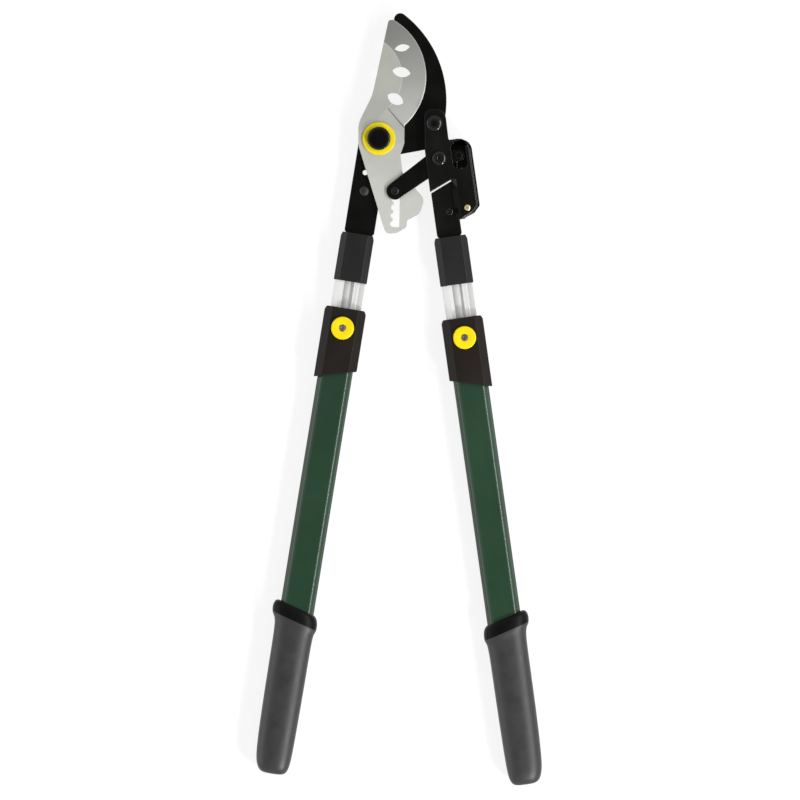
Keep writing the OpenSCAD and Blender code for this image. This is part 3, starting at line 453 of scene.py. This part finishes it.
# The blade pivot: a black domed bolt over a yellow ring, held by a nut behind the hook plate. The ring
# is painted steel, the bolt is oil-blacked and the nut is plain zinc.
black_bolt = coated("blacked_bolt", (0.0022, 0.0022, 0.0020), (0.0042, 0.0040, 0.0036), (0.10, 0.14),
                    1200.0, 0.000001, specular=0.36)
grey_steel = coated("grey_steel", (0.16, 0.16, 0.155), (0.28, 0.28, 0.27), (0.35, 0.5), 900.0, 0.00002,
                    metal=0.9)
yellow_paint = coated("yellow_paint", (0.95, 0.73, 0.0), (1.0, 0.82, 0.002), (0.32, 0.42), 1100.0,
                      0.00002, specular=0.35)
x, y, low, ring_top = middle("pivot_washer")
ring_profile = [(6.1 * MM, low), (14.75 * MM, low), (14.75 * MM, ring_top - 0.5 * MM), (14.2 * MM, ring_top),
                (11.0 * MM, ring_top), (6.1 * MM, ring_top - 0.1 * MM)]
piece("pivot_ring", turned(ring_profile, x, y, steps=96, closed=True, ease=0.12 * MM), yellow_paint,
      "hook_side", "yellow_ring", "pivot_washer")
x, y, low, high = middle("pivot_bolt")
bolt_profile = [(0.0, low), (5.4 * MM, low), (6.0 * MM, low + 0.6 * MM), (6.0 * MM, ring_top)]
bolt_profile += dome(10.5 * MM, ring_top, high, 1.5 * MM, 20, 5.0)
piece("pivot_bolt_blacked", turned(bolt_profile, x, y, steps=96, ease=0.2 * MM), black_bolt, "hook_side",
      "black_fastener", "pivot_bolt")
piece("pivot_nut_zinc", eased("pivot_nut", 0.4 * MM), grey_steel, "hook_side", "grey_steel", "pivot_nut")

# The arm: two black-painted steel sheets round a core plate. The front sheet is pressed up into a
# cheek and a pan with a rolled rim and a window, and steps down to the tang in the right collar.
SHEET_T, LEVEL_ROOM = 2.2 * MM, 0.05 * MM
PRESSED_TURN = 60.0  # in degrees: the turn of a pressed edge
# where the pan's rim runs, across the arm and down it from its pivot: its side, top and foot corners
PAN_SIDE = 27.0 * MM
PAN_TOP = [(12.0 * MM, 17.5 * MM), (20.0 * MM, 24.0 * MM)]
PAN_FOOT = [(14.0 * MM, 82.0 * MM), (21.5 * MM, 77.5 * MM)]
slides = {joint["child"]: Vector(joint["axis"]).normalized() for joint in frame["joints"]
          if joint["name"].endswith("_extend")}
arm_down = slides["right_handle"]
arm_across = Vector((-arm_down.y, arm_down.x, 0.0))
arm_pivot = Vector((*middle("arm_pivot_bolt")[:2], 0.0))
arm_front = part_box("arm_front_plate")[1][2]
arm_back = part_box("arm_back_plate")[0][2]
tang_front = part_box("arm_core")[1][2] + SHEET_T


def pan_rim(v):
    """True on the outer upper edge of the pan."""
    reach = Vector((v.x, v.y, 0.0)) - arm_pivot
    across, down = reach.dot(arm_across), reach.dot(arm_down)
    upper_side = any(across > least and down < most for least, most in PAN_TOP)
    lower_side = any(across > least and down > start for least, start in PAN_FOOT)
    return v.z >= arm_front - LEVEL_ROOM and (across > PAN_SIDE or upper_side or lower_side)


def front_edge(v):
    """True on the upper edges of the cheek, the pan and the tang."""
    return v.z > arm_front - LEVEL_ROOM or abs(v.z - tang_front) < LEVEL_ROOM


arm_paint = coated("arm_paint", (0.0034, 0.0032, 0.0026), (0.0056, 0.0052, 0.0044), (0.22, 0.30), 1500.0,
                   0.00001, specular=0.28)
arm_sheet = merged("arm_front_plate")
for chosen, width in ((pan_rim, 2.0 * MM), (front_edge, 0.6 * MM)):
    pressed = [e for e in sharp_edges(arm_sheet, PRESSED_TURN)
               if chosen((e.verts[0].co + e.verts[1].co) / 2)]
    rounded(arm_sheet, pressed, width, 5)
piece("arm_front_plate_pressed", arm_sheet, arm_paint, "arm", "black_steel", "arm_front_plate", smooth=20.0)
piece("arm_back_plate_flat", eased("arm_back_plate", 0.5 * MM), black_steel, "arm", "black_steel",
      "arm_back_plate")
piece("arm_core_plate", eased("arm_core", 0.3 * MM), black_steel, "arm", "black_steel", "arm_core")

# The arm's fasteners: the domed bolt of its pivot and of the link, each with spacer rings inside the
# arm, a small rivet through the tang and a gilt rivet in the pan that anchors the spring.
gilt = coated("gilt", (0.62, 0.54, 0.30), (0.80, 0.73, 0.46), (0.25, 0.4), 800.0, 0.00001, metal=0.8)
arm_plates, tang_plates = (arm_back, arm_front), (arm_back, tang_front)
through_bolt("arm_pivot_bolt_blacked", "arm_pivot_bolt", arm_plates, (4.5 * MM, 7.25 * MM, 1.2 * MM),
             black_bolt, "arm", "black_fastener")
through_bolt("link_pivot_bolt_blacked", "link_pivot_bolt", arm_plates, (4.0 * MM, 6.5 * MM, 1.2 * MM),
             black_bolt, "arm", "black_fastener", dimple=(2.6 * MM, 1.3 * MM))
through_bolt("arm_rivet_blacked", "arm_rivet", tang_plates, (2.25 * MM, 3.25 * MM, 0.4 * MM),
             black_bolt, "arm", "black_fastener", dimple=(1.2 * MM, 0.5 * MM))
through_bolt("spring_anchor_gilt", "spring_anchor", arm_plates, (1.8 * MM, 2.75 * MM, 0.4 * MM),
             gilt, "arm", "gilt_rivet")
piece("arm_pivot_spacer_ring", eased("arm_pivot_spacer", 0.3 * MM), grey_steel, "arm", "grey_steel",
      "arm_pivot_spacer")
piece("link_spacer_rings", eased("link_spacers", 0.3 * MM), grey_steel, "arm", "grey_steel", "link_spacers")

# The ratchet link: two black plates in front of and behind the blade's tail, riveted together by the
# ratchet pin. The front plate carries a post with a low riveted head, which the spring hooks on.
for plate in ("link_front_plate", "link_back_plate"):
    piece(plate + "_painted", eased(plate, 0.45 * MM), black_steel, "link", "black_steel", plate)
link_plates = (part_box("link_back_plate")[0][2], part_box("link_front_plate")[1][2])
through_bolt("ratchet_pin_blacked", "ratchet_pin", link_plates, (2.3 * MM, 3.5 * MM, 0.35 * MM), black_bolt,
             "link", "grey_steel", dimple=(1.1 * MM, 0.5 * MM))
piece("spring_post_turned", eased("spring_post", 0.15 * MM), grey_steel, "link", "grey_steel", "spring_post")
x, y, low, high = middle("spring_post")
head_low, head_high = high - 0.4 * MM, high + 0.28 * MM
head_profile = [(0.0, head_low)] + dome(3.2 * MM, head_low, head_high, 0.42 * MM)
piece("spring_post_head", turned(head_profile, x, y), black_bolt, "link", "black_fastener")

# The ratchet spring: drawn steel wire, coils with a half hook round the anchor rivet and a loop round
# the link's post.
COILS, COIL_STEPS, COIL_R, COIL_PITCH = 14, 20, 2.8 * MM, 1.9 * MM
WIRE_D, WIRE_SIDES = 1.1 * MM, 16
HOOK_R, HOOK_STEPS = 2.65 * MM, 12


def wire(name, points, thickness, material, body, slot, *nodes):
    """Round wire along a smooth path, made a mesh."""
    path = bpy.data.curves.new(name + "_path", "CURVE")
    path.dimensions = "3D"
    path.bevel_depth = thickness / 2
    path.bevel_resolution = 3
    path.use_fill_caps = True
    spline = path.splines.new("POLY")
    spline.points.add(len(points) - 1)
    for point, place in zip(spline.points, points):
        point.co = (*place, 1.0)
    drawn = bpy.data.objects.new(name + "_path", path)
    scene.collection.objects.link(drawn)
    bpy.context.view_layer.update()
    depsgraph = bpy.context.evaluated_depsgraph_get()
    data = bpy.data.meshes.new_from_object(drawn.evaluated_get(depsgraph))
    bm = bmesh.new()
    bm.from_mesh(data)
    bpy.data.objects.remove(drawn)
    bpy.data.curves.remove(path)
    bpy.data.meshes.remove(data)
    bmesh.ops.remove_doubles(bm, verts=bm.verts, dist=TINY)
    return piece(name, bm, material, body, slot, *nodes, smooth=60.0, flats=False)


spring_steel = coated("spring_wire", (0.34, 0.34, 0.33), (0.46, 0.46, 0.44), (0.22, 0.34), 700.0, 0.00001,
                      metal=1.0)
spring_low, spring_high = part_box("ratchet_spring")
spring_mid = (spring_low[2] + spring_high[2]) / 2
anchor = Vector((*middle("spring_anchor")[:2], spring_mid))
post = Vector((*middle("spring_post")[:2], spring_mid))
along = (post - anchor).normalized()
across = along.cross(Vector((0.0, 0.0, 1.0)))
hook_turns = [-math.pi * i / HOOK_STEPS for i in range(HOOK_STEPS + 1)]
hook_points = [anchor + (across * math.cos(a) + along * math.sin(a)) * HOOK_R for a in hook_turns]
wire("ratchet_spring_hook", hook_points, WIRE_D, spring_steel, "arm", "spring_steel")
wire_turns = [math.tau * i / WIRE_SIDES for i in range(WIRE_SIDES)]
loop_profile = [(HOOK_R + WIRE_D / 2 * math.cos(a), post.z + WIRE_D / 2 * math.sin(a)) for a in wire_turns]
piece("ratchet_spring_loop", turned(loop_profile, post.x, post.y, closed=True), spring_steel, "link",
      "spring_steel", smooth=60.0, flats=False)
coil_start = ((post - anchor).length - COILS * COIL_PITCH) / 2
spring_points = [anchor - across * HOOK_R]
for i in range(COILS * COIL_STEPS + 1):
    a = math.pi - math.tau * i / COIL_STEPS
    ring = across * math.cos(a) + Vector((0.0, 0.0, math.sin(a)))
    spring_points.append(anchor + ring * COIL_R + along * (coil_start + COIL_PITCH * i / COIL_STEPS))
spring_points.append(post - across * HOOK_R)
ratchet_spring = wire("ratchet_spring_wire", spring_points, WIRE_D, spring_steel, "arm", "spring_steel",
                      "ratchet_spring")
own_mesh(ratchet_spring)

# The collars: charcoal mouldings that close the top of each inner tube round the tang of the hook
# plate or of the arm. Their faces are bevelled like the tubes and finely spark-textured.
SIDES = {"left": "hook_side", "right": "arm"}  # and the body of the head that each handle is fixed to
charcoal = coated("charcoal_moulding", (0.0108, 0.0108, 0.0108), (0.0144, 0.0144, 0.0144), (0.36, 0.46),
                  2600.0, 0.00003, specular=0.26, cloud=28.0)
for side, head in SIDES.items():
    piece(side + "_collar_moulded", eased(side + "_collar", 0.7 * MM, 3), charcoal, head,
          "charcoal_plastic", side + "_collar")

# The inner tubes: drawn aluminium with a groove down the front, a slot and lock holes under it. Each
# hidden end has a plastic bush that guides the outer tube.
INNER_HALF = 13.7 * MM
DRAWN_CELL, DRAWN_GREY = (1 / 900, 1 / 6, 1 / 900), (0.5, 0.5, 0.495)
# painted light and shade across the tube, with the groove in the middle: painted shade at the groove's
# edges, the left faces painted light and the right face painted darker as the light falls
INNER_PAINTED_SHADES = [(0.00, 0.94), (0.18, 0.97), (0.22, 0.95), (0.31, 0.94), (0.335, 0.34), (0.37, 0.52),
                (0.45, 0.76), (0.55, 0.96), (0.645, 1.00), (0.665, 0.92), (0.78, 0.82), (0.84, 0.54),
                (1.00, 0.64)]
for side, head in SIDES.items():
    down = slides[side + "_handle"]
    lean = math.atan2(down.x, -down.y)
    origin = (*middle(side + "_button")[:2], 0.0)
    aluminium, shader = finish(side + "_drawn_aluminium", (0.80, 0.80, 0.79), 0.42, 0.25)
    tube_way = parts_of(aluminium, placed(aluminium, turn=lean, origin=origin))
    across_tube = spread(aluminium, tube_way["X"], 0.0, 1.0, -INNER_HALF, INNER_HALF)
    drawn_lines = grain(aluminium, placed(aluminium, DRAWN_CELL, lean, origin), 1.0, 3.0)
    # the painted light and shade across the tube, clouded by the drawn lines
    colour = shades(aluminium, across_tube, [(p, (v, v, v * 0.985)) for p, v in INNER_PAINTED_SHADES])
    colour = mixed(aluminium, spread(aluminium, drawn_lines, 0.12, 0.0), colour, DRAWN_GREY)
    aluminium.node_tree.links.new(colour, shader.inputs["Base Color"])
    gloss = spread(aluminium, drawn_lines, 0.36, 0.48)
    aluminium.node_tree.links.new(gloss, shader.inputs["Roughness"])
    relief(aluminium, shader, drawn_lines, 0.000004)
    piece(side + "_inner_tube_drawn", eased(side + "_inner_tube", 0.3 * MM, clamp=True), aluminium, head,
          "bare_aluminium", side + "_inner_tube")
    piece(side + "_guide_bush_moulded", eased(side + "_guide_bush", 0.3 * MM), charcoal, head,
          "charcoal_plastic", side + "_guide_bush")

# The lock sleeves: charcoal mouldings glued over the top of each outer tube, with a slanted lower end
# and a round well for the lock button.
warm_charcoal = coated("warm_charcoal_moulding", (0.0138, 0.0104, 0.0090), (0.0178, 0.0136, 0.0120),
                       (0.36, 0.46), 2600.0, 0.00003, specular=0.16, cloud=28.0)
for side in SIDES:
    piece(side + "_lock_sleeve_moulded", eased(side + "_lock_sleeve", 0.8 * MM, 3), warm_charcoal,
          side + "_handle", "charcoal_plastic", side + "_lock_sleeve")

# The outer tubes: drawn aluminium in a deep green gloss coat with a faint orange peel.
# Their sides are rounded by the drawing, so each shows a bright line down its length.
END_FACE, FLAT_FACE = 0.1, 0.001
# the tilt of a drawn side in degrees, by its way from the tube's middle
SIDE_TILTS = [(9.3 * MM, 0.0), (10.3 * MM, 14.0), (15.0 * MM, 64.0), (15.5 * MM, 90.0)]


def side_tilt(reach):
    """The tilt of a tube's drawn side at a way from its middle."""
    for (near, low), (far, high) in zip(SIDE_TILTS, SIDE_TILTS[1:]):
        if reach < far:
            return math.radians(low + (high - low) * max(0.0, (reach - near) / (far - near)))
    return math.pi / 2


def drawn_normal(face, place, centre, down):
    """The normal of the drawn curve on the outer long faces of a tube; its flats stay flat."""
    way = face.center - centre
    inside = face.normal.dot(way - down * way.dot(down)) < 0.0
    if inside or abs(face.normal.dot(down)) > END_FACE:
        return None
    if not FLAT_FACE < abs(face.normal.z) < 1.0 - FLAT_FACE:
        return face.normal.copy()
    across = Vector((-down.y, down.x, 0.0))
    reach = (place - centre).dot(across)
    tilt = side_tilt(abs(reach))
    curve = across * math.copysign(math.sin(tilt), reach)
    curve.z = math.copysign(math.cos(tilt), face.normal.z)
    return curve


green_coat = coated("green_coat", (0.016, 0.048, 0.024), (0.021, 0.058, 0.030), (0.20, 0.27), 650.0,
                    0.00001, specular=0.5, cloud=20.0)
for side in SIDES:
    low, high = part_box(side + "_outer_tube")
    tube = piece(side + "_outer_tube_coated", eased(side + "_outer_tube", 0.3 * MM), green_coat,
                 side + "_handle", "green_tube", side + "_outer_tube", flats=False)
    reshaded(tube, drawn_normal, (Vector(low) + Vector(high)) / 2, slides[side + "_handle"])

# The grips: dark soft rubber slipped over the end of each outer tube, with a smooth slanted lip at the
# top that flares out of the body, a softly squared body and a rounded end.
GRIP_W, GRIP_T, GRIP_LEN = 35.0 * MM, 27.0 * MM, 151.0 * MM
GRIP_SLANT, GRIP_PAST_TUBE, GRIP_POINTS = math.tan(math.radians(15.5)), 24.0 * MM, 40
TUBE_W, HANDLE_MID = 31.0 * MM, 14.0 * MM
HOLE = (31.1 * MM / GRIP_W, 18.1 * MM / GRIP_T)
# place down the grip, width, thickness, slant and bow to the inside, as shares of the grip's sizes,
# from the floor of the hole up to the lip and down the outside
GRIP_RINGS = [
    (0.840, *HOLE, 0.0, 0.0), (0.800, *HOLE, 0.0, 0.0), (0.160, *HOLE, 1.0, 0.0),
    (0.080, *HOLE, 1.0, 0.0), (0.010, *HOLE, 1.0, 0.0), (-0.002, 0.94, 0.74, 1.0, -0.03),
    (0.000, 1.01, 0.88, 1.0, -0.03), (0.010, 1.125, 0.98, 1.0, -0.03), (0.030, 1.195, 1.015, 1.0, -0.03),
    (0.055, 1.22, 1.03, 1.0, -0.03), (0.080, 1.20, 1.025, 1.0, -0.025), (0.093, 1.15, 1.012, 1.0, -0.018),
    (0.102, 1.10, 1.0, 1.0, -0.012), (0.115, 1.06, 0.982, 0.95, -0.006), (0.140, 1.03, 0.968, 0.86, 0.0),
    (0.185, 1.012, 0.962, 0.68, 0.0), (0.240, 1.005, 0.96, 0.5, 0.0), (0.450, 1.0, 1.0, 0.1, 0.0),
    (0.700, 0.98, 1.0, 0.0, 0.0), (0.860, 0.94, 0.985, 0.0, 0.006), (0.920, 0.895, 0.955, 0.0, 0.014),
    (0.960, 0.815, 0.88, 0.0, 0.026), (0.986, 0.69, 0.73, 0.0, 0.035), (1.000, 0.46, 0.46, 0.0, 0.04)]
HOLE_RINGS, LIP_RINGS = 5, 10
# powers that swell a circle towards the tube's section and the grip's own
HOLE_POWER, BODY_POWER = 0.6, 0.78


def swelled(c, power):
    """Swells a circle towards a soft square."""
    return math.copysign(abs(c) ** power, c)


rubber = coated("grip_rubber", (0.0096, 0.0094, 0.0097), (0.0168, 0.0164, 0.0168), (0.44, 0.54), 2200.0,
                0.00004, specular=0.68, cloud=90.0)
lip_rubber = coated("lip_rubber", (0.0024, 0.0023, 0.0021), (0.004, 0.0038, 0.0036), (0.34, 0.44), 2000.0,
                    0.00002, specular=0.12, cloud=40.0)
for side in SIDES:
    inward = 1.0 if side == "left" else -1.0
    down = slides[side + "_handle"]
    across = Vector((-down.y, down.x, 0.0))
    low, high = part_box(side + "_outer_tube")
    centre = Vector(((low[0] + high[0]) / 2, (low[1] + high[1]) / 2, HANDLE_MID))
    tube_len = ((high[1] - low[1]) - abs(across.y) * TUBE_W) / abs(down.y)
    top = centre + down * (tube_len / 2 + GRIP_PAST_TUBE - GRIP_LEN)
    bm = bmesh.new()
    rings = []
    for i, (place, width, thick, slant, bow) in enumerate(GRIP_RINGS):
        power = HOLE_POWER if i < HOLE_RINGS else BODY_POWER
        ring = bmesh.ops.create_circle(bm, segments=GRIP_POINTS, radius=1.0)["verts"]
        for v in ring:
            s = GRIP_W * (width / 2 * swelled(v.co.x, power) + bow)
            h = GRIP_T * thick / 2 * swelled(v.co.y, power)
            v.co = top + across * s * inward + down * (GRIP_LEN * place + s * GRIP_SLANT * slant)
            v.co.z += h
        rings.append(list({e for v in ring for e in v.link_edges}))
    for i, (upper, lower) in enumerate(zip(rings, rings[1:])):
        for face in bmesh.ops.bridge_loops(bm, edges=upper + lower)["faces"]:
            face.material_index = 1 if i < LIP_RINGS else 0
    for end in (rings[0], rings[-1]):
        bmesh.ops.contextual_create(bm, geom=end)
    bmesh.ops.recalc_face_normals(bm, faces=bm.faces)
    grip = piece(side + "_grip_rubber", bm, rubber, side + "_handle", "grip_rubber", side + "_grip",
                 smooth=180.0, flats=False)
    grip.data.materials.append(lip_rubber)
    rounder = grip.modifiers.new("rounder", "SUBSURF")
    rounder.levels = rounder.render_levels = 2

# The lock buttons: yellow moulded discs with a shallow dish, held on a bright steel lock pin that
# passes through the sleeve into the inner tube, over a light compression spring.
PRESS_TURNS, PRESS_STEPS, PRESS_R, PRESS_WIRE = 3, 24, 5.75 * MM, 0.7 * MM
PIN_COLLAR_T, PIN_NECK = 2.0 * MM, 12.2 * MM
yellow_moulding = coated("yellow_moulding", (0.94, 0.73, 0.0), (1.0, 0.81, 0.002), (0.28, 0.38), 1500.0,
                         0.00002, specular=0.35)
bright_pin = coated("bright_pin", (0.19, 0.145, 0.155), (0.33, 0.275, 0.285), (0.25, 0.4), 900.0, 0.00001,
                    metal=1.0)
for side in SIDES:
    x, y, low, high = middle(side + "_button")
    disc = [(3.2 * MM, low), (10.35 * MM, low), (10.35 * MM, high - 0.9 * MM), (9.9 * MM, high - 0.25 * MM),
            (9.3 * MM, high), (6.0 * MM, high), (5.2 * MM, high - 0.35 * MM), (3.2 * MM, high - 0.4 * MM)]
    piece(side + "_button_moulded", turned(disc, x, y, steps=96, closed=True, ease=0.1 * MM),
          yellow_moulding, side + "_button", "yellow_plastic", side + "_button")
    x, y, low, high = middle(side + "_lock_pin")
    pin = [(0.0, low), (3.4 * MM, low), (3.4 * MM, low + PIN_COLLAR_T), (2.0 * MM, low + PIN_COLLAR_T),
           (2.0 * MM, low + PIN_NECK), (3.1 * MM, low + PIN_NECK), (3.1 * MM, high - 0.7 * MM),
           (2.6 * MM, high - 0.15 * MM), (1.7 * MM, high), (1.3 * MM, high - 0.4 * MM),
           (0.0, high - 0.5 * MM)]
    piece(side + "_lock_pin_turned", turned(pin, x, y, ease=0.08 * MM), bright_pin, side + "_button",
          "pin_steel", side + "_lock_pin")
    low, high = (v[2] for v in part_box(side + "_button_spring"))
    rise = (high - low - PRESS_WIRE) / (PRESS_TURNS * PRESS_STEPS)
    coil = []
    for i in range(PRESS_TURNS * PRESS_STEPS + 1):
        a = math.tau * i / PRESS_STEPS
        coil.append((x + PRESS_R * math.cos(a), y + PRESS_R * math.sin(a), low + PRESS_WIRE / 2 + rise * i))
    button_spring = wire(side + "_button_spring_wire", coil, PRESS_WIRE, spring_steel, side + "_handle",
                         "spring_steel", side + "_button_spring")
    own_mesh(button_spring)
